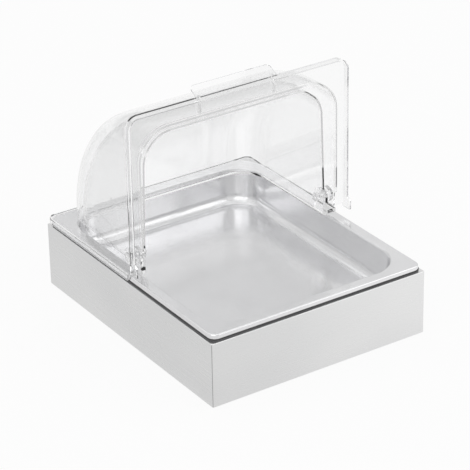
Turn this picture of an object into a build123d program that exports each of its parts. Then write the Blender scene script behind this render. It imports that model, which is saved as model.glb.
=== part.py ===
from build123d import *
import os
from math import radians, tan

# Chilled food display: an insulated steel base cooled by cold packs, a drop-in pan
# and a two-part clear cover whose front half rolls back over the rear half.
# Millimetres. X runs along the front, Y towards the back, Z up, Z = 0 is the table.

# Standard half-size pan, the size that the rest is drawn round
rim_width = 265
rim_depth = 325

# Housing, folded from sheet
housing_margin = 2.5
housing_top = 75
housing_sheet = 1
housing_bend = 2
top_return = 10
bottom_return = 15
floor_gap = 1

# Base plate, its rivets and the rubber feet
plate_sheet = 1
plate_clearance = 0.5
rivet_shank = 1.6
rivet_head = 3.2
rivet_head_height = 0.7
rivet_tail = 2.4
rivet_tail_height = 1.5
rivets_per_side = 3
rivet_hole_clearance = 0.05
foot_radius = 9
foot_inset = 34
foot_edge = 0.6
foot_stem = 2.5
foot_stem_bulb = 3.4
foot_bulb_height = 2.5
foot_bulb_taper = 10

# Insulation block
foam_clearance = 0.5
foam_floor = 9.5
foam_pocket_gap = 1

# Liner tray and the seal under the pan
liner_wall = 1.5
liner_corner = 24
liner_opening_gap = 2
liner_fillet = 5
seal_thickness = 1
seal_overhang = 0.5

# Cold packs
pack_gap = 6
pack_air_gap = 7.2
pack_corner = 14
pack_edge = 4
pack_groove_width = 10
pack_groove_depth = 2.5
pack_groove_count = 3
cap_radius = 11
cap_height = 3
cap_plug = 7
cap_plug_depth = 6
cap_recess_gap = 2.5
cap_fit = 0.1
cap_inset = 24
cap_notch_width = 3
cap_notch_depth = 1.2

# Food pan
rim_land = 13.5
rim_corner = 9
rim_bend = 1.8
lip_height = 5
pan_sheet = 0.8
well_drop = 40
well_corner = 37
well_draft = 4
well_floor_radius = 12
well_mouth_radius = 3

# Clear covers, both measured from the hinge axis
cover_wall = 2.2
cover_draft = 1.5
hinge_rise = 20.5
dome_centre_drop = 2
rail_clearance = 0.4
lap_height_gap = 0.5
lap_side_gap = 0.7
rail_break = 0.8

# Rear cover
rear_side_inset = 15.5
rear_end_inset = 23.5
rear_centre_reach = 0
rear_overlap = 9
rear_rail_start = 4
rear_rail_height = 7
rear_corner = 36
rear_rail_corner = 10

# Front cover
front_side_inset = 7.5
front_end_inset = 14.2
front_centre_reach = -1.7
front_overlap = 8
front_rail_overlap = 11.5
front_rail_height = 8.2
front_corner = 38
front_rail_corner = 14
front_end_clearance = 3
swing_gap = 0.4
seat_gap = 0.3
seat_start = 10
tab_height = 13
tab_length = 10.5
tab_step = 3

# Finger grip on the front edge
grip_half_length = 50
grip_length = 16
grip_lean = 27
grip_root_depth = 1.5
grip_corner = 6
gusset_inset = 2.5
gusset_sheet = 2
gusset_height = 8

# Hinges
ear_radius = 9
washer_gap = 0.3
washer_thickness = 1
washer_radius = 7
boss_length = 4.5
pin_radius = 3
pin_running_gap = 0.05
pin_head_radius = 5.5
pin_head_height = 1.8
pin_head_gap = 0.2
pin_slot_width = 1.2
pin_slot_depth = 0.8
hinge_cap_radius = 5
hinge_cap_length = 4
hinge_cap_floor = 1
hinge_cap_gap = 0.5

# Levels and fits that follow from the sizes above
housing_width = rim_width + 2 * housing_margin
housing_depth = rim_depth + 2 * housing_margin
housing_bottom = floor_gap
plate_bottom = housing_bottom + housing_sheet
plate_top = plate_bottom + plate_sheet
inner_width = housing_width - 2 * housing_sheet
inner_depth = housing_depth - 2 * housing_sheet
opening_width = housing_width - 2 * top_return
opening_depth = housing_depth - 2 * top_return
seal_bottom = housing_top + liner_wall
lip_bottom = seal_bottom + seal_thickness
rim_top = lip_bottom + lip_height
rim_bottom = rim_top - pan_sheet
well_width = rim_width - 2 * rim_land
well_depth = rim_depth - 2 * rim_land
pan_floor = rim_top - well_drop
flange_width = rim_width + 2 * seal_overhang
flange_depth = rim_depth + 2 * seal_overhang
flange_corner = rim_corner + seal_overhang
liner_width = opening_width - 2 * liner_opening_gap
liner_depth = opening_depth - 2 * liner_opening_gap
liner_bottom = plate_top + foam_floor + foam_clearance
liner_floor = liner_bottom + liner_wall
tray_width = liner_width - 2 * liner_wall
tray_depth = liner_depth - 2 * liner_wall
pack_width = tray_width - 2 * pack_gap
pack_depth = (tray_depth - 3 * pack_gap) / 2
pack_y = (pack_gap + pack_depth) / 2
pack_bottom = liner_floor
pack_top = pan_floor - pan_sheet - pack_air_gap
pack_height = pack_top - pack_bottom
hinge_z = rim_top + hinge_rise
rear_half_width = rim_width / 2 - rear_side_inset
rear_radius = rim_depth / 2 - rear_end_inset - rear_centre_reach
front_half_width = rim_width / 2 - front_side_inset
front_radius = rim_depth / 2 - front_end_inset - front_centre_reach
rear_rail_half = rim_width / 2 + rail_clearance + cover_wall
rear_rail_end = rim_depth / 2 + rail_clearance + cover_wall
rear_plate_low = rim_top - hinge_z
rear_plate_high = rear_plate_low + cover_wall
front_rail_half = rear_rail_half + lap_side_gap + cover_wall
front_rail_end = rim_depth / 2 + front_end_clearance + cover_wall
front_plate_low = rear_plate_high + lap_height_gap
front_plate_high = front_plate_low + cover_wall
seat_low = rear_plate_low + seat_gap
cut_margin = 20


def ring(width, depth, corner, hole_width, hole_depth, hole_corner):
    """Flat rounded frame in the current sketch."""
    RectangleRounded(width, depth, corner)
    RectangleRounded(hole_width, hole_depth, hole_corner, mode=Mode.SUBTRACT)


# Steel housing: four walls with a return bent inwards at the top and at the bottom
with BuildPart() as housing:
    with BuildSketch(Plane.XY.offset(housing_bottom)):
        RectangleRounded(housing_width, housing_depth, housing_bend)
    extrude(amount=housing_top - housing_bottom)
    rims = housing.faces().sort_by(Axis.Z)
    fillet(rims[-1].edges() + rims[0].edges(), radius=housing_sheet)
    with BuildSketch(Plane.XY.offset(housing_bottom + housing_sheet)):
        RectangleRounded(inner_width, inner_depth, housing_bend - housing_sheet)
    extrude(amount=housing_top - housing_bottom - 2 * housing_sheet, mode=Mode.SUBTRACT)
    with BuildSketch(Plane.XY.offset(housing_top)):
        RectangleRounded(opening_width, opening_depth, housing_bend)
    extrude(amount=-2 * housing_sheet, mode=Mode.SUBTRACT)
    with BuildSketch(Plane.XY.offset(housing_bottom)):
        RectangleRounded(
            housing_width - 2 * bottom_return, housing_depth - 2 * bottom_return, housing_bend
        )
    extrude(amount=2 * housing_sheet, mode=Mode.SUBTRACT)
    rivet_x = (housing_width - bottom_return) / 2
    rivet_y = (housing_depth - bottom_return) / 2
    with Locations(Plane.XY.offset(plate_bottom)):
        with GridLocations(2 * rivet_x, rivet_y, 2, rivets_per_side):
            Hole(rivet_shank + rivet_hole_clearance, depth=2 * housing_sheet)
housing.part.label = "housing"

# Base plate lying on the bottom return, with holes for the rivets and the foot stems
foot_x = housing_width / 2 - foot_inset
foot_y = housing_depth / 2 - foot_inset
with BuildPart() as base_plate:
    with BuildSketch(Plane.XY.offset(plate_bottom)):
        RectangleRounded(
            inner_width - 2 * plate_clearance, inner_depth - 2 * plate_clearance, housing_bend
        )
        with GridLocations(2 * rivet_x, rivet_y, 2, rivets_per_side):
            Circle(rivet_shank + rivet_hole_clearance, mode=Mode.SUBTRACT)
        with GridLocations(2 * foot_x, 2 * foot_y, 2, 2):
            Circle(foot_stem + rivet_hole_clearance, mode=Mode.SUBTRACT)
    extrude(amount=plate_sheet)
base_plate.part.label = "base_plate"

# Blind rivets that hold the plate to the bottom return
with BuildPart() as base_rivets:
    for level, radius, length in (
        (housing_bottom - rivet_head_height, rivet_head, rivet_head_height),
        (housing_bottom, rivet_shank, plate_top - housing_bottom),
        (plate_top, rivet_tail, rivet_tail_height),
    ):
        with BuildSketch(Plane.XY.offset(level)):
            with GridLocations(2 * rivet_x, rivet_y, 2, rivets_per_side):
                Circle(radius)
        extrude(amount=length)
base_rivets.part.label = "base_rivets"


def rubber_foot(x, y):
    """Round foot with a stem snapped through the base plate."""
    with BuildPart() as foot:
        with BuildSketch(Plane((x, y, 0))):
            Circle(foot_radius)
        extrude(amount=plate_bottom)
        chamfer(foot.edges().group_by(Axis.Z)[0], length=foot_edge)
        with BuildSketch(Plane((x, y, plate_bottom))):
            Circle(foot_stem)
        extrude(amount=plate_sheet)
        with BuildSketch(Plane((x, y, plate_top))):
            Circle(foot_stem_bulb)
        extrude(amount=foot_bulb_height, taper=foot_bulb_taper)
    return foot.part


foot_places = {
    "foot_front_left": (-foot_x, -foot_y),
    "foot_front_right": (foot_x, -foot_y),
    "foot_rear_left": (-foot_x, foot_y),
    "foot_rear_right": (foot_x, foot_y),
}

# Insulation block around and under the liner, relieved over rivets and foot stems
with BuildPart() as insulation:
    with BuildSketch(Plane.XY.offset(plate_top)):
        RectangleRounded(
            inner_width - 2 * foam_clearance, inner_depth - 2 * foam_clearance, housing_bend
        )
    extrude(amount=housing_top - housing_sheet - foam_clearance - plate_top)
    with BuildSketch(Plane.XY.offset(plate_top + foam_floor)):
        RectangleRounded(
            liner_width + 2 * foam_clearance,
            liner_depth + 2 * foam_clearance,
            liner_corner + foam_clearance,
        )
    extrude(amount=housing_top, mode=Mode.SUBTRACT)
    with BuildSketch(Plane.XY.offset(plate_top)):
        with GridLocations(2 * rivet_x, rivet_y, 2, rivets_per_side):
            Circle(rivet_tail + foam_pocket_gap)
    extrude(amount=rivet_tail_height + foam_pocket_gap, mode=Mode.SUBTRACT)
    with BuildSketch(Plane.XY.offset(plate_top)):
        with GridLocations(2 * foot_x, 2 * foot_y, 2, 2):
            Circle(foot_stem_bulb + foam_pocket_gap)
    extrude(amount=foot_bulb_height + foam_pocket_gap, mode=Mode.SUBTRACT)
insulation.part.label = "insulation"

# Liner tray: hangs from its flange on the top return and holds the cold packs
with BuildPart() as tray_space:
    with BuildSketch(Plane.XY.offset(liner_floor)):
        RectangleRounded(tray_width, tray_depth, liner_corner - liner_wall)
    extrude(amount=housing_top)
    fillet(tray_space.edges().group_by(Axis.Z)[0], radius=liner_fillet)
with BuildPart() as liner:
    with BuildSketch(Plane.XY.offset(liner_bottom)):
        RectangleRounded(liner_width, liner_depth, liner_corner)
    extrude(amount=seal_bottom - liner_bottom)
    fillet(liner.edges().group_by(Axis.Z)[0], radius=liner_fillet + liner_wall)
    with BuildSketch(Plane.XY.offset(housing_top)):
        RectangleRounded(flange_width, flange_depth, flange_corner)
    extrude(amount=liner_wall)
    add(tray_space.part, mode=Mode.SUBTRACT)
liner.part.label = "liner"

# Dark seal between the liner flange and the lip of the pan
with BuildPart() as rim_seal:
    with BuildSketch(Plane.XY.offset(seal_bottom)):
        ring(flange_width, flange_depth, flange_corner, tray_width, tray_depth, liner_corner)
    extrude(amount=seal_thickness)
rim_seal.part.label = "rim_seal"

# Cold packs, two alike, each with a screwed filler cap in a recess at one corner
cap_x = pack_width / 2 - cap_inset
cap_y = pack_depth / 2 - cap_inset
cap_seat = pack_top - cap_height - cap_fit
pack_pitch = pack_width / pack_groove_count


def cold_pack(centre_y):
    """Sealed gel bottle with moulded grooves along its top and bottom."""
    with BuildPart() as pack:
        with BuildSketch(Plane((0, centre_y, pack_bottom))):
            RectangleRounded(pack_width, pack_depth, pack_corner)
        extrude(amount=pack_height)
        fillet(
            pack.edges().group_by(Axis.Z)[0] + pack.edges().group_by(Axis.Z)[-1], radius=pack_edge
        )
        with BuildSketch(Plane.XZ.offset(tray_depth)):
            with GridLocations(pack_pitch, pack_pitch, pack_groove_count - 1, 1):
                for level in (pack_bottom, pack_top):
                    with Locations((0, level)):
                        Rectangle(pack_groove_width, 2 * pack_groove_depth)
        extrude(amount=-2 * tray_depth, mode=Mode.SUBTRACT)
        with BuildSketch(Plane((cap_x, centre_y + cap_y, cap_seat))):
            Circle(cap_radius + cap_recess_gap)
        extrude(amount=pack_height, mode=Mode.SUBTRACT)
        with BuildSketch(Plane((cap_x, centre_y + cap_y, cap_seat))):
            Circle(cap_plug + cap_fit)
        extrude(amount=-cap_plug_depth - cap_fit, mode=Mode.SUBTRACT)
    return pack.part


def pack_cap(centre_y):
    """Filler cap with its plug and a coin slot."""
    with BuildPart() as cap:
        with BuildSketch(Plane((cap_x, centre_y + cap_y, cap_seat))):
            Circle(cap_radius)
        extrude(amount=cap_height)
        with BuildSketch(Plane((cap_x, centre_y + cap_y, cap_seat))):
            Circle(cap_plug)
        extrude(amount=-cap_plug_depth)
        with BuildSketch(Plane((cap_x, centre_y + cap_y, cap_seat + cap_height))):
            Rectangle(2 * cap_plug, cap_notch_width)
        extrude(amount=-cap_notch_depth, mode=Mode.SUBTRACT)
    return cap.part


pack_places = {"front": -pack_y, "rear": pack_y}


def pan_space(inset, floor, top, floor_radius):
    """Tapered well of the pan, drawn in by a distance, from its floor up to a level."""
    grow = (top - rim_top) * tan(radians(well_draft))
    width = well_width - 2 * inset + 2 * grow
    depth = well_depth - 2 * inset + 2 * grow
    with BuildPart() as space:
        with BuildSketch(Plane.XY.offset(top)):
            RectangleRounded(width, depth, well_corner - inset)
        extrude(amount=floor - top, taper=well_draft)
        fillet(space.edges().group_by(Axis.Z)[0], radius=floor_radius)
    return space.part


# Food pan, pressed from sheet: turned-down lip, flat rim and a tapered well
with BuildPart() as food_pan:
    with BuildSketch(Plane.XY.offset(lip_bottom)):
        RectangleRounded(rim_width, rim_depth, rim_corner)
    extrude(amount=lip_height)
    fillet(food_pan.faces().sort_by(Axis.Z)[-1].edges(), radius=rim_bend)
    with BuildSketch(Plane.XY.offset(lip_bottom)):
        RectangleRounded(
            rim_width - 2 * pan_sheet, rim_depth - 2 * pan_sheet, rim_corner - pan_sheet
        )
    extrude(amount=lip_height - pan_sheet, mode=Mode.SUBTRACT)
    add(pan_space(-pan_sheet, pan_floor - pan_sheet, rim_bottom, well_floor_radius + pan_sheet))
    underside = food_pan.faces().filter_by(Plane.XY).sort_by(Axis.Z)[-2]
    fillet(underside.inner_wires().edges(), radius=well_mouth_radius - pan_sheet)
    add(pan_space(0, pan_floor, rim_top, well_floor_radius), mode=Mode.SUBTRACT)
    fillet(food_pan.faces().sort_by(Axis.Z)[-1].inner_wires().edges(), radius=well_mouth_radius)
food_pan.part.label = "food_pan"


# Cover frames: across, away from the hinge axis, and up from the rail. The front cover
# is drawn rolled back, so its frame is turned a quarter round the hinge axis.
hinge_point = (0, 0, hinge_z)
rear_frame = Plane(origin=hinge_point, x_dir=(1, 0, 0), z_dir=(0, 0, 1))
front_frame = Plane(origin=hinge_point, x_dir=(-1, 0, 0), z_dir=(0, 1, 0))


def side_plane(frame, across=0):
    """Plane of a cover's side view: sketch X is reach from the hinge, Y is height."""
    return Plane(origin=frame.origin, x_dir=frame.y_dir, z_dir=frame.x_dir).offset(across)


def front_plane(frame, reach=0):
    """Plane of a cover's front view: sketch X is across, Y is height."""
    return Plane(origin=frame.origin, x_dir=frame.x_dir, z_dir=-frame.y_dir).offset(-reach)


def wall_half_width(half_width, rail_level, height):
    """Half width of a drafted side wall at a height above the hinge axis."""
    return half_width - (height - rail_level) * tan(radians(cover_draft))


def dome_block(frame, half_width, rail_level, radius, centre_reach, start, foot, corner):
    """Quarter-round block with drafted sides and rounded side edges."""
    crown = radius - dome_centre_drop
    wide = wall_half_width(half_width, rail_level, foot)
    narrow = wall_half_width(half_width, rail_level, crown)
    with BuildPart() as block:
        with BuildSketch(side_plane(frame)):
            with BuildLine():
                back = (centre_reach + radius, -dome_centre_drop)
                top = (centre_reach, crown)
                Polyline(top, (start, crown), (start, foot), (centre_reach + radius, foot), back)
                RadiusArc(back, top, -radius)
            make_face()
        extrude(amount=wide, both=True)
        with BuildSketch(front_plane(frame)):
            Polygon((-wide, foot), (wide, foot), (narrow, crown), (-narrow, crown), align=None)
        extrude(amount=2 * radius, both=True, mode=Mode.INTERSECT)
        across = Axis(frame.origin, frame.x_dir)
        reach = Axis(frame.origin, frame.y_dir)
        height = Axis(frame.origin, frame.z_dir)
        sides = block.faces().sort_by(across)
        for side in (sides[0], sides[-1]):
            outline = side.edges()
            rim = outline - outline.sort_by(height)[0:1] - outline.sort_by(reach)[0:1]
            fillet(rim, radius=corner)
    return block.part


def rail_outline(half_width, start, end, corner):
    """Rail plan in the current sketch: square at the hinge end, rounded at the far end."""
    with Locations((0, (start + end) / 2)):
        Rectangle(2 * half_width, end - start)
    fillet(vertices().group_by(Axis.Y)[-1], radius=corner)


def rail(frame, low, high, half_width, start, end, height, corner):
    """Flat rail round a cover with a skirt turned down at its outer edge."""
    with BuildPart() as body:
        with BuildSketch(frame.offset(high)):
            rail_outline(half_width, start, end, corner)
        extrude(amount=-height)
        with BuildSketch(frame.offset(low)):
            rail_outline(
                half_width - cover_wall, start - cut_margin, end - cover_wall, corner - cover_wall
            )
        extrude(amount=-height, mode=Mode.SUBTRACT)
        top = body.faces().sort_by(Axis(frame.origin, frame.z_dir))[-1]
        edges = top.edges().sort_by(Axis(frame.origin, frame.y_dir))[1:]
        fillet(edges, radius=rail_break)
    return body.part


def pin_bores(frame, inner, outer):
    """Two round solids that cut the hinge pin bores through both sides of a cover."""
    with BuildPart() as bores:
        for side in (-1, 1):
            with BuildSketch(side_plane(frame, side * inner)):
                Circle(pin_radius + pin_running_gap)
            extrude(amount=side * (outer - inner))
    return bores.part


# Places along the hinge axis, measured across from the middle
front_inner_half = front_half_width - cover_wall
rear_inner_half = rear_half_width - cover_wall
washer_outer = wall_half_width(front_inner_half, front_plate_high, ear_radius) - washer_gap
ear_outer = washer_outer - washer_thickness
boss_inner = wall_half_width(front_inner_half, front_plate_high, -ear_radius)
boss_outer = boss_inner + cover_wall + boss_length
hinge_cap_outer = wall_half_width(rear_inner_half, rear_plate_high, ear_radius) - hinge_cap_gap
hinge_cap_inner = hinge_cap_outer - hinge_cap_length
pin_end = hinge_cap_inner + hinge_cap_floor + pin_running_gap
head_face = boss_outer + pin_head_gap

# Rear cover: rests on the pan, carries the hinge ears
with BuildPart() as rear_cover:
    add(rail(
        rear_frame, rear_plate_low, rear_plate_high, rear_rail_half,
        -rear_rail_start, rear_rail_end, rear_rail_height, rear_rail_corner,
    ))
    add(dome_block(
        rear_frame, rear_half_width, rear_plate_high, rear_radius,
        rear_centre_reach, -rear_overlap, rear_plate_low, rear_corner,
    ))
    for side in (-1, 1):
        with BuildSketch(side_plane(rear_frame, side * rear_inner_half)):
            Circle(ear_radius)
            with Locations((0, rear_plate_low / 2)):
                Rectangle(2 * ear_radius, -rear_plate_low)
        extrude(amount=side * (ear_outer - rear_inner_half))
    add(
        dome_block(
            rear_frame, rear_inner_half, rear_plate_high, rear_radius - cover_wall,
            rear_centre_reach, -rear_overlap - cut_margin, rear_plate_low - cut_margin,
            rear_corner - cover_wall,
        ),
        mode=Mode.SUBTRACT,
    )
    add(pin_bores(rear_frame, rear_inner_half - cut_margin, ear_outer), mode=Mode.SUBTRACT)
rear_cover.part.label = "rear_cover"

# Front cover: swings over the rear one, with hinge bosses, stop tabs and a finger grip
front_root = front_centre_reach + front_radius
grip_root = front_rail_end - cover_wall
grip_plane = front_plane(front_frame, front_rail_end)
grip_plane = Plane(
    origin=grip_plane.from_local_coords((0, front_plate_high, 0)),
    x_dir=grip_plane.x_dir,
    z_dir=grip_plane.z_dir,
).rotated((grip_lean, 0, 0))
with BuildPart() as front_cover:
    add(rail(
        front_frame, front_plate_low, front_plate_high, front_rail_half,
        -front_rail_overlap, front_rail_end, front_rail_height, front_rail_corner,
    ))
    add(dome_block(
        front_frame, front_half_width, front_plate_high, front_radius,
        front_centre_reach, -front_overlap, seat_low, front_corner,
    ))
    for side in (-1, 1):
        with BuildSketch(side_plane(front_frame, side * boss_inner)):
            Circle(ear_radius)
        extrude(amount=side * (boss_outer - boss_inner))
        with BuildSketch(side_plane(front_frame, side * front_rail_half)):
            tab_low = front_plate_high - tab_height
            skirt_low = front_plate_high - front_rail_height
            Polygon(
                (-front_rail_overlap, front_plate_low),
                (-front_rail_overlap, tab_low),
                (tab_length - front_rail_overlap, tab_low),
                (tab_length - front_rail_overlap + tab_step, skirt_low),
                (tab_length - front_rail_overlap + tab_step, front_plate_low),
                align=None,
            )
        extrude(amount=-side * cover_wall)
        with BuildSketch(side_plane(front_frame, side * (grip_half_length - gusset_inset))):
            Polygon(
                (front_root - cover_wall / 2, front_plate_low),
                (grip_root + cover_wall / 2, front_plate_low),
                (grip_root + cover_wall / 2, front_plate_high + gusset_height),
                (front_root - cover_wall / 2, front_plate_high + gusset_height / 2),
                align=None,
            )
        extrude(amount=-side * gusset_sheet)
    with BuildSketch(grip_plane):
        with Locations((0, (grip_length - grip_root_depth) / 2)):
            Rectangle(2 * grip_half_length, grip_length + grip_root_depth)
        fillet(vertices().group_by(Axis.Y)[-1], radius=grip_corner)
    extrude(amount=cover_wall)
    add(
        dome_block(
            front_frame, front_inner_half, front_plate_high, front_radius - cover_wall,
            front_centre_reach, -front_overlap - cut_margin, seat_low - cut_margin,
            front_corner - cover_wall,
        ),
        mode=Mode.SUBTRACT,
    )
    seat_cut = front_rail_overlap + seat_start
    with BuildSketch(front_frame.offset(front_plate_low)):
        with Locations((0, seat_start - seat_cut)):
            Rectangle(2 * (front_half_width + cover_wall), 2 * seat_cut)
    extrude(amount=seat_low - front_plate_low - cover_wall, mode=Mode.SUBTRACT)
    with BuildSketch(side_plane(front_frame)):
        with Locations((-front_rail_overlap, -front_rail_overlap - seat_start)):
            Rectangle(2 * front_rail_overlap, 2 * (front_rail_overlap + seat_start))
        Circle(-rear_plate_high - swing_gap, mode=Mode.SUBTRACT)
    extrude(amount=front_rail_half - cover_wall, both=True, mode=Mode.SUBTRACT)
    add(pin_bores(front_frame, boss_inner - cut_margin, boss_outer), mode=Mode.SUBTRACT)
front_cover.part.label = "front_cover"


def hinge_pin(side):
    """Clear pin pressed through the ear, with a slotted head outside the boss."""
    with BuildPart() as pin:
        with BuildSketch(side_plane(rear_frame, side * pin_end)):
            Circle(pin_radius)
        extrude(amount=side * (head_face - pin_end))
        with BuildSketch(side_plane(rear_frame, side * head_face)):
            Circle(pin_head_radius)
        extrude(amount=side * pin_head_height)
        across = Axis(rear_frame.origin, rear_frame.x_dir * side)
        fillet(pin.faces().sort_by(across)[-1].edges(), radius=pin_head_height / 2)
        with BuildSketch(side_plane(rear_frame, side * (head_face + pin_head_height))):
            Rectangle(2 * pin_head_radius, pin_slot_width)
        extrude(amount=-side * pin_slot_depth, mode=Mode.SUBTRACT)
    return pin.part


def hinge_washer(side):
    """Thin spacer between the ear and the front cover."""
    with BuildPart() as washer:
        with BuildSketch(side_plane(rear_frame, side * ear_outer)):
            Circle(washer_radius)
            Circle(pin_radius + pin_running_gap, mode=Mode.SUBTRACT)
        extrude(amount=side * washer_thickness)
    return washer.part


def hinge_cap(side):
    """Blind cap pushed over the inner end of the pin."""
    with BuildPart() as cap:
        with BuildSketch(side_plane(rear_frame, side * hinge_cap_outer)):
            Circle(hinge_cap_radius)
        extrude(amount=-side * hinge_cap_length)
        across = Axis(rear_frame.origin, rear_frame.x_dir * side)
        chamfer(cap.faces().sort_by(across)[0].edges(), length=hinge_cap_floor / 2)
        with BuildSketch(side_plane(rear_frame, side * hinge_cap_outer)):
            Circle(pin_radius + pin_running_gap)
        extrude(amount=side * (hinge_cap_floor - hinge_cap_length), mode=Mode.SUBTRACT)
    return cap.part


# Repeated pieces, each with its own name
pieces = {}
for name, place in foot_places.items():
    pieces[name] = rubber_foot(*place)
for name, centre_y in pack_places.items():
    pieces["cold_pack_" + name] = cold_pack(centre_y)
    pieces["pack_cap_" + name] = pack_cap(centre_y)
for name, side in (("left", -1), ("right", 1)):
    pieces["hinge_pin_" + name] = hinge_pin(side)
    pieces["hinge_washer_" + name] = hinge_washer(side)
    pieces["hinge_cap_" + name] = hinge_cap(side)
for name, piece in pieces.items():
    piece.label = name

# One file for each piece
os.makedirs("parts", exist_ok=True)
for single in (
    housing, base_plate, base_rivets, insulation, liner, rim_seal, food_pan, rear_cover, front_cover
):
    export_step(single.part, f"parts/{single.part.label}.step")
for name, piece in pieces.items():
    export_step(piece, f"parts/{name}.step")
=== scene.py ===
import math

import bpy
from mathutils import Matrix, Vector


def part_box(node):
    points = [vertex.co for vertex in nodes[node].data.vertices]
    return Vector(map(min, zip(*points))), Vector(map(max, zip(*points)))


# Looks of the chilled food display: satin steel base, bright pan, clear covers.
# Metres, in the same frame as the CAD part.

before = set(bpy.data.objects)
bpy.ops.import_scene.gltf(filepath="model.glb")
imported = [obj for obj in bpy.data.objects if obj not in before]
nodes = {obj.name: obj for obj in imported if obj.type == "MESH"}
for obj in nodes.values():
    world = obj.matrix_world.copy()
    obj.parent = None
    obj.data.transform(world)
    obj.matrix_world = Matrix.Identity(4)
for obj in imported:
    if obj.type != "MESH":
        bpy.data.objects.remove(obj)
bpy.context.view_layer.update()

# Camera as in the photograph, found by fitting its rays to the base, rim and covers
CAMERA_AZIMUTH = -33.314
CAMERA_ELEVATION = 27.309
CAMERA_ROLL = -1.102
CAMERA_DISTANCE = 2.7067
CAMERA_TARGET = (0.04475, 0.06157, 0.05)
CAMERA_FOCAL_PIXELS = 2434.2
PICTURE_PIXELS = 470
SENSOR = 36.0

# Outside bend radius of the housing's corners, and the part of it where the dark line down each corner
# begins and ends
CORNER_BEND = 0.002
DARK_LINE_START = 0.56
DARK_LINE_END = 0.69

# Light caught between the faces of a clear piece leaves it after this many turns, and with
# this share of its brightness at each face that it passes
WALL_TURNS = 5.5
TRIM_TURNS = 2.5
CAUGHT_LIGHT = 0.95

# Air left between clear pieces and what they touch, so that light gets out between them
CONTACT_AIR = 0.00003

# Even light of the world, and the grey levels that the object mirrors, by height above the horizon
WORLD_LIGHT = 0.7
SKY_LEVELS = (
    (0.0, 1.0),
    (0.06, 0.95),
    (0.14, 0.68),
    (0.28, 0.68),
    (0.38, 0.82),
    (0.6, 0.82),
    (0.8, 0.78),
    (1.0, 0.78),
)

# Floor: half its width, how much of it glows white for the eye, and how bright metal sees it
# from FLOOR_LEFT to FLOOR_RIGHT along X
FLOOR_HALF = 5.0
FLOOR_SHARE = 0.9
FLOOR_COLOUR = (0.86, 0.86, 0.86, 1.0)
FLOOR_DIM = 0.80
FLOOR_FULL = 1.0
FLOOR_LEFT = -0.15
FLOOR_RIGHT = 0.24

# Name, place, width and watts of each lamp, and the point that all of them face
LAMPS = (
    ("key_light", (-1.6, -1.3, 2.2), 2.6, 14.0),
    ("fill_light", (2.0, -1.6, 1.6), 2.2, 9.0),
    ("top_light", (0.2, 0.8, 2.6), 2.6, 8.0),
)
LAMP_AIM = (0.0, 0.0, 0.1)

WHITE = (1.0, 1.0, 1.0, 1.0)

scene = bpy.context.scene
scene.view_settings.view_transform = "Standard"


class Nodes:
    """Short way to build one material's node tree."""

    def __init__(self, name):
        self.material = bpy.data.materials.new(name)
        self.material.use_nodes = True
        self.tree = self.material.node_tree
        self.tree.nodes.clear()
        self.output = self.add("ShaderNodeOutputMaterial")

    def add(self, kind, **settings):
        node = self.tree.nodes.new(kind)
        for key, value in settings.items():
            setattr(node, key, value)
        return node

    def link(self, source, target):
        self.tree.links.new(source, target)

    def surface(self, colour, roughness, metallic=0.0, **sockets):
        """Principled shader with plain values on its own sockets."""
        shader = self.add("ShaderNodeBsdfPrincipled")
        shader.inputs["Base Color"].default_value = (*colour, 1.0)
        shader.inputs["Roughness"].default_value = roughness
        shader.inputs["Metallic"].default_value = metallic
        for key, value in sockets.items():
            shader.inputs[key.replace("_", " ")].default_value = value
        self.link(shader.outputs["BSDF"], self.output.inputs["Surface"])
        return shader

    def stretched(self, scale):
        """Object coordinates multiplied by a scale for each axis."""
        coordinates = self.add("ShaderNodeTexCoord")
        mapping = self.add("ShaderNodeMapping")
        mapping.inputs["Scale"].default_value = scale
        self.link(coordinates.outputs["Object"], mapping.inputs["Vector"])
        return mapping.outputs["Vector"]

    def noise(self, vector, detail=3.0, roughness=0.5):
        """Soft spots about one unit of the vector wide."""
        texture = self.add("ShaderNodeTexNoise")
        texture.inputs["Scale"].default_value = 1.0
        texture.inputs["Detail"].default_value = detail
        texture.inputs["Roughness"].default_value = roughness
        self.link(vector, texture.inputs["Vector"])
        return texture.outputs["Fac"]

    def span(self, value, low, high, start=0.3, end=0.7):
        """A value between two numbers."""
        ramp = self.add("ShaderNodeMapRange")
        ramp.inputs["From Min"].default_value = start
        ramp.inputs["From Max"].default_value = end
        ramp.inputs["To Min"].default_value = low
        ramp.inputs["To Max"].default_value = high
        self.link(value, ramp.inputs["Value"])
        return ramp.outputs["Result"]

    def shades(self, value, dark, light, start=0.3, end=0.7):
        """A colour between two colours."""
        ramp = self.add("ShaderNodeValToRGB")
        ramp.color_ramp.elements[0].position = start
        ramp.color_ramp.elements[0].color = (*dark, 1.0)
        ramp.color_ramp.elements[1].position = end
        ramp.color_ramp.elements[1].color = (*light, 1.0)
        self.link(value, ramp.inputs["Fac"])
        return ramp.outputs["Color"]

    def bump(self, value, strength, distance, shader, base=None):
        """Small relief on a shader, on top of another relief where one is given."""
        node = self.add("ShaderNodeBump")
        node.inputs["Strength"].default_value = strength
        node.inputs["Distance"].default_value = distance
        self.link(value, node.inputs["Height"])
        if base is not None:
            self.link(base, node.inputs["Normal"])
        self.link(node.outputs["Normal"], shader.inputs["Normal"])
        return node.outputs["Normal"]


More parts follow.
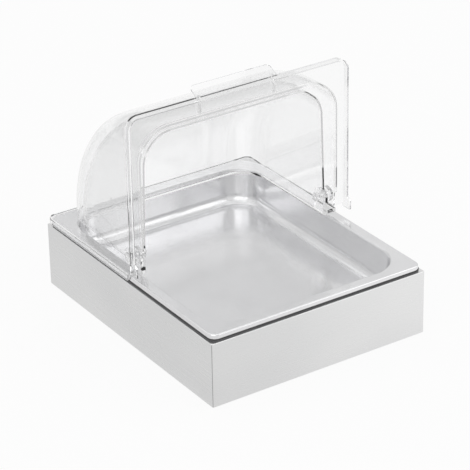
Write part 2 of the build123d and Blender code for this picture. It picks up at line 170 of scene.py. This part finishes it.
def corner_dark_line(m):
    """1 along a thin band down the middle of each folded corner of the housing, else 0."""
    low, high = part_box("housing")
    coordinates = m.add("ShaderNodeTexCoord")
    split = m.add("ShaderNodeSeparateXYZ")
    m.link(coordinates.outputs["Object"], split.inputs["Vector"])
    nearest = m.add("ShaderNodeMath", operation="MINIMUM")
    for slot, (axis, reach) in enumerate((("X", high.x), ("Y", high.y))):
        side = m.add("ShaderNodeMath", operation="ABSOLUTE")
        inside = m.add("ShaderNodeMath", operation="SUBTRACT")
        inside.inputs[1].default_value = reach - CORNER_BEND
        m.link(split.outputs[axis], side.inputs[0])
        m.link(side.outputs["Value"], inside.inputs[0])
        m.link(inside.outputs["Value"], nearest.inputs[slot])
    start = DARK_LINE_START * CORNER_BEND
    end = DARK_LINE_END * CORNER_BEND
    return m.span(nearest.outputs["Value"], 0.0, 1.0, start, end)


def satin_steel():
    """Sheet brushed along its length, with a slow variation in shade and a dark line down the middle
    of each corner.
    """
    m = Nodes("satin_steel")
    shader = m.surface((0.81, 0.81, 0.81), 0.3, 1.0)
    cloud = m.noise(m.stretched((5.0, 5.0, 9.0)), 2.0)
    sheet = m.shades(cloud, (0.78, 0.782, 0.784), (0.84, 0.84, 0.838))
    # Colour darkened to near black in a thin band down the middle of each rounded corner
    dark_line = corner_dark_line(m)
    joined = m.add("ShaderNodeMix", data_type="RGBA")
    joined.inputs[7].default_value = (0.16, 0.16, 0.16, 1.0)
    m.link(dark_line, joined.inputs[0])
    m.link(sheet, joined.inputs[6])
    m.link(joined.outputs[2], shader.inputs["Base Color"])
    brush = m.noise(m.stretched((12.0, 12.0, 2600.0)), 4.0, 0.65)
    m.link(m.span(brush, 0.25, 0.34), shader.inputs["Roughness"])
    m.bump(brush, 0.05, 0.00003, shader)
    return m.material


def bright_steel():
    """Pressed sheet with a bright finish, a little uneven where it was drawn."""
    m = Nodes("bright_steel")
    shader = m.surface((0.83, 0.83, 0.84), 0.16, 1.0)
    cloud = m.noise(m.stretched((14.0, 14.0, 14.0)), 3.0)
    m.link(m.shades(cloud, (0.80, 0.80, 0.81), (0.86, 0.86, 0.868)), shader.inputs["Base Color"])
    grain = m.noise(m.stretched((900.0, 40.0, 900.0)), 4.0, 0.6)
    m.link(m.span(grain, 0.13, 0.24), shader.inputs["Roughness"])
    waves = m.noise(m.stretched((26.0, 26.0, 26.0)), 1.0)
    slow = m.bump(waves, 0.10, 0.0006, shader)
    m.bump(grain, 0.05, 0.00004, shader, slow)
    return m.material


def clear_plastic(name, tint, roughness, turns):
    """Clear moulded plastic with faint flow marks, which lets lamps shine through."""
    m = Nodes(name)
    shader = m.surface(tint, roughness, 0.0, Transmission_Weight=1.0, IOR=1.49)
    flow = m.noise(m.stretched((22.0, 22.0, 22.0)), 2.0)
    fine = m.noise(m.stretched((300.0, 300.0, 300.0)), 3.0)
    m.link(m.span(fine, roughness * 0.6, roughness * 1.6), shader.inputs["Roughness"])
    m.bump(flow, 0.25, 0.0004, shader)
    path = m.add("ShaderNodeLightPath")
    leaving = m.add("ShaderNodeBsdfTransparent")
    leaving.inputs["Color"].default_value = (CAUGHT_LIGHT, CAUGHT_LIGHT, CAUGHT_LIGHT, 1.0)
    caught = m.add("ShaderNodeMath", operation="GREATER_THAN")
    caught.inputs[1].default_value = turns
    freed = m.add("ShaderNodeMixShader")
    m.link(path.outputs["Ray Depth"], caught.inputs[0])
    m.link(caught.outputs["Value"], freed.inputs["Fac"])
    m.link(shader.outputs["BSDF"], freed.inputs[1])
    m.link(leaving.outputs["BSDF"], freed.inputs[2])
    through = m.add("ShaderNodeBsdfTransparent")
    through.inputs["Color"].default_value = (*tint, 1.0)
    mixed = m.add("ShaderNodeMixShader")
    either = m.add("ShaderNodeMath", operation="MAXIMUM")
    m.link(path.outputs["Is Shadow Ray"], either.inputs[0])
    m.link(path.outputs["Is Diffuse Ray"], either.inputs[1])
    m.link(either.outputs["Value"], mixed.inputs["Fac"])
    m.link(freed.outputs["Shader"], mixed.inputs[1])
    m.link(through.outputs["BSDF"], mixed.inputs[2])
    m.link(mixed.outputs["Shader"], m.output.inputs["Surface"])
    return m.material


def moulded(name, dark, light, roughness, grain_scale, grain_depth):
    """Moulded plastic or rubber: two close shades and a fine grain."""
    m = Nodes(name)
    shader = m.surface(light, roughness)
    patches = m.noise(m.stretched((30.0, 30.0, 30.0)), 3.0)
    m.link(m.shades(patches, dark, light), shader.inputs["Base Color"])
    grain = m.noise(m.stretched((grain_scale,) * 3), 3.0, 0.6)
    m.link(m.span(grain, roughness * 0.85, roughness * 1.15), shader.inputs["Roughness"])
    m.bump(grain, 0.5, grain_depth, shader)
    return m.material


def foam_board():
    """Closed-cell foam: small cells with darker walls between them."""
    m = Nodes("foam")
    shader = m.surface((0.82, 0.80, 0.72), 0.8)
    cells = m.add("ShaderNodeTexVoronoi", feature="DISTANCE_TO_EDGE")
    m.link(m.stretched((420.0, 420.0, 420.0)), cells.inputs["Vector"])
    cells.inputs["Scale"].default_value = 1.0
    edge = cells.outputs["Distance"]
    m.link(
        m.shades(edge, (0.66, 0.63, 0.54), (0.84, 0.82, 0.74), 0.0, 0.25), shader.inputs["Base Color"]
    )
    m.bump(edge, 0.4, 0.0004, shader)
    return m.material


steel = satin_steel()
pan_steel = bright_steel()
clear = clear_plastic("clear_plastic", (0.965, 0.966, 0.967), 0.035, WALL_TURNS)
clear_trim = clear_plastic("clear_trim", (0.96, 0.961, 0.962), 0.08, TRIM_TURNS)
rubber = moulded("rubber", (0.035, 0.035, 0.036), (0.055, 0.055, 0.055), 0.7, 1400.0, 0.0001)
seal = moulded("seal", (0.028, 0.028, 0.028), (0.045, 0.045, 0.045), 0.6, 1800.0, 0.00006)
liner_plastic = moulded("liner", (0.07, 0.07, 0.075), (0.10, 0.10, 0.105), 0.5, 1100.0, 0.00008)
pack_plastic = moulded("cold_pack", (0.13, 0.32, 0.58), (0.20, 0.42, 0.68), 0.38, 500.0, 0.0001)
cap_plastic = moulded("pack_cap", (0.80, 0.80, 0.78), (0.88, 0.88, 0.86), 0.4, 700.0, 0.00006)
foam = foam_board()

FINISH = {
    "housing": steel,
    "base_plate": steel,
    "base_rivets": steel,
    "food_pan": pan_steel,
    "rear_cover": clear,
    "front_cover": clear,
    "insulation": foam,
    "liner": liner_plastic,
    "rim_seal": seal,
}
for side in ("left", "right"):
    FINISH["foot_front_" + side] = rubber
    FINISH["foot_rear_" + side] = rubber
    FINISH["hinge_pin_" + side] = clear_trim
    FINISH["hinge_washer_" + side] = clear_trim
    FINISH["hinge_cap_" + side] = clear_trim
for place in ("front", "rear"):
    FINISH["cold_pack_" + place] = pack_plastic
    FINISH["pack_cap_" + place] = cap_plastic
for name, node in nodes.items():
    node.data.materials.clear()
    node.data.materials.append(FINISH[name])
    if FINISH[name] in (clear, clear_trim):
        joined = node.modifiers.new("join_edges", "WELD")
        joined.merge_threshold = CONTACT_AIR / 10
        inset = node.modifiers.new("contact_air", "DISPLACE")
        inset.mid_level = 0.0
        inset.strength = -CONTACT_AIR


def background_rays(tree):
    """A number that is 1 for rays that show the background: seen, reflected or refracted."""
    path = tree.nodes.new("ShaderNodeLightPath")
    first = tree.nodes.new("ShaderNodeMath")
    first.operation = "MAXIMUM"
    second = tree.nodes.new("ShaderNodeMath")
    second.operation = "MAXIMUM"
    tree.links.new(path.outputs["Is Camera Ray"], first.inputs[0])
    tree.links.new(path.outputs["Is Glossy Ray"], first.inputs[1])
    tree.links.new(first.outputs["Value"], second.inputs[0])
    tree.links.new(path.outputs["Is Transmission Ray"], second.inputs[1])
    return path, second.outputs["Value"]


def make_world():
    """Even white light, with a grey band above the horizon that the object mirrors."""
    world = bpy.data.worlds.new("studio")
    scene.world = world
    world.use_nodes = True
    tree = world.node_tree
    tree.nodes.clear()
    out = tree.nodes.new("ShaderNodeOutputWorld")
    path, shows = background_rays(tree)
    lit = tree.nodes.new("ShaderNodeBackground")
    lit.inputs["Color"].default_value = WHITE
    lit.inputs["Strength"].default_value = WORLD_LIGHT
    seen = tree.nodes.new("ShaderNodeBackground")
    seen.inputs["Strength"].default_value = 1.0
    coordinates = tree.nodes.new("ShaderNodeTexCoord")
    split = tree.nodes.new("ShaderNodeSeparateXYZ")
    ramp = tree.nodes.new("ShaderNodeValToRGB")
    stops = ramp.color_ramp.elements
    for height, _ in SKY_LEVELS[1:-1]:
        stops.new(height)
    for stop, (_, level) in zip(stops, SKY_LEVELS):
        stop.color = (level, level, level, 1.0)
    tree.links.new(coordinates.outputs["Generated"], split.inputs["Vector"])
    tree.links.new(split.outputs["Z"], ramp.inputs["Fac"])
    plain = tree.nodes.new("ShaderNodeMix")
    plain.data_type = "RGBA"
    plain.inputs[6].default_value = WHITE
    tree.links.new(path.outputs["Is Glossy Ray"], plain.inputs[0])
    tree.links.new(ramp.outputs["Color"], plain.inputs[7])
    tree.links.new(plain.outputs[2], seen.inputs["Color"])
    mixed = tree.nodes.new("ShaderNodeMixShader")
    tree.links.new(shows, mixed.inputs["Fac"])
    tree.links.new(lit.outputs["Background"], mixed.inputs[1])
    tree.links.new(seen.outputs["Background"], mixed.inputs[2])
    tree.links.new(mixed.outputs["Shader"], out.inputs["Surface"])


def make_floor():
    """Pale floor that shows white and keeps a soft shadow. Metal sees it brighter to the right."""
    mesh = bpy.data.meshes.new("floor")
    turns = ((-1, -1), (1, -1), (1, 1), (-1, 1))
    corners = [(FLOOR_HALF * x, FLOOR_HALF * y, 0.0) for x, y in turns]
    mesh.from_pydata(corners, [], [(0, 1, 2, 3)])
    floor = bpy.data.objects.new("floor", mesh)
    scene.collection.objects.link(floor)
    m = Nodes("floor")
    path, shows = background_rays(m.tree)
    mirrored = m.add("ShaderNodeMath", operation="SUBTRACT", use_clamp=True)
    m.link(path.outputs["Is Glossy Ray"], mirrored.inputs[0])
    m.link(path.outputs["Is Transmission Ray"], mirrored.inputs[1])
    matte = m.add("ShaderNodeBsdfDiffuse")
    matte.inputs["Color"].default_value = FLOOR_COLOUR
    glow = m.add("ShaderNodeEmission")
    glow.inputs["Color"].default_value = WHITE
    split = m.add("ShaderNodeSeparateXYZ")
    m.link(m.stretched((1.0, 1.0, 1.0)), split.inputs["Vector"])
    level = m.add("ShaderNodeMix", data_type="FLOAT")
    level.inputs[2].default_value = 1.0
    m.link(mirrored.outputs["Value"], level.inputs[0])
    rising = m.span(split.outputs["X"], FLOOR_DIM, FLOOR_FULL, FLOOR_LEFT, FLOOR_RIGHT)
    m.link(rising, level.inputs[3])
    m.link(level.outputs[0], glow.inputs["Strength"])
    part = m.add("ShaderNodeMath", operation="MULTIPLY")
    part.inputs[1].default_value = FLOOR_SHARE
    mixed = m.add("ShaderNodeMixShader")
    m.link(shows, part.inputs[0])
    m.link(part.outputs["Value"], mixed.inputs["Fac"])
    m.link(matte.outputs["BSDF"], mixed.inputs[1])
    m.link(glow.outputs["Emission"], mixed.inputs[2])
    m.link(mixed.outputs["Shader"], m.output.inputs["Surface"])
    mesh.materials.append(m.material)


def soft_light(name, place, size, power):
    """Large soft lamp aimed at the object."""
    data = bpy.data.lights.new(name, "AREA")
    data.shape = "SQUARE"
    data.size = size
    data.energy = power
    lamp = bpy.data.objects.new(name, data)
    scene.collection.objects.link(lamp)
    lamp.location = place
    towards = Vector(LAMP_AIM) - Vector(place)
    lamp.rotation_euler = towards.to_track_quat("-Z", "Y").to_euler()
    lamp.visible_camera = False


def make_camera():
    """The photograph's viewpoint: turn, height, roll and focal length."""
    data = bpy.data.cameras.new("camera")
    data.sensor_width = SENSOR
    data.lens = SENSOR * CAMERA_FOCAL_PIXELS / PICTURE_PIXELS
    data.clip_start = 0.05
    data.clip_end = 50.0
    camera = bpy.data.objects.new("camera", data)
    scene.collection.objects.link(camera)
    turn = math.radians(CAMERA_AZIMUTH)
    rise = math.radians(CAMERA_ELEVATION)
    roll = math.radians(CAMERA_ROLL)
    back = Vector(
        (math.sin(turn) * math.cos(rise), -math.cos(turn) * math.cos(rise), math.sin(rise))
    )
    level = Vector((math.cos(turn), math.sin(turn), 0.0))
    upright = back.cross(level)
    right = level * math.cos(roll) + upright * math.sin(roll)
    up = upright * math.cos(roll) - level * math.sin(roll)
    turned = Matrix((right, up, back)).transposed()
    place = Vector(CAMERA_TARGET) + back * CAMERA_DISTANCE
    camera.matrix_world = Matrix.Translation(place) @ turned.to_4x4()
    scene.camera = camera


make_world()
make_floor()
for lamp in LAMPS:
    soft_light(*lamp)
make_camera()
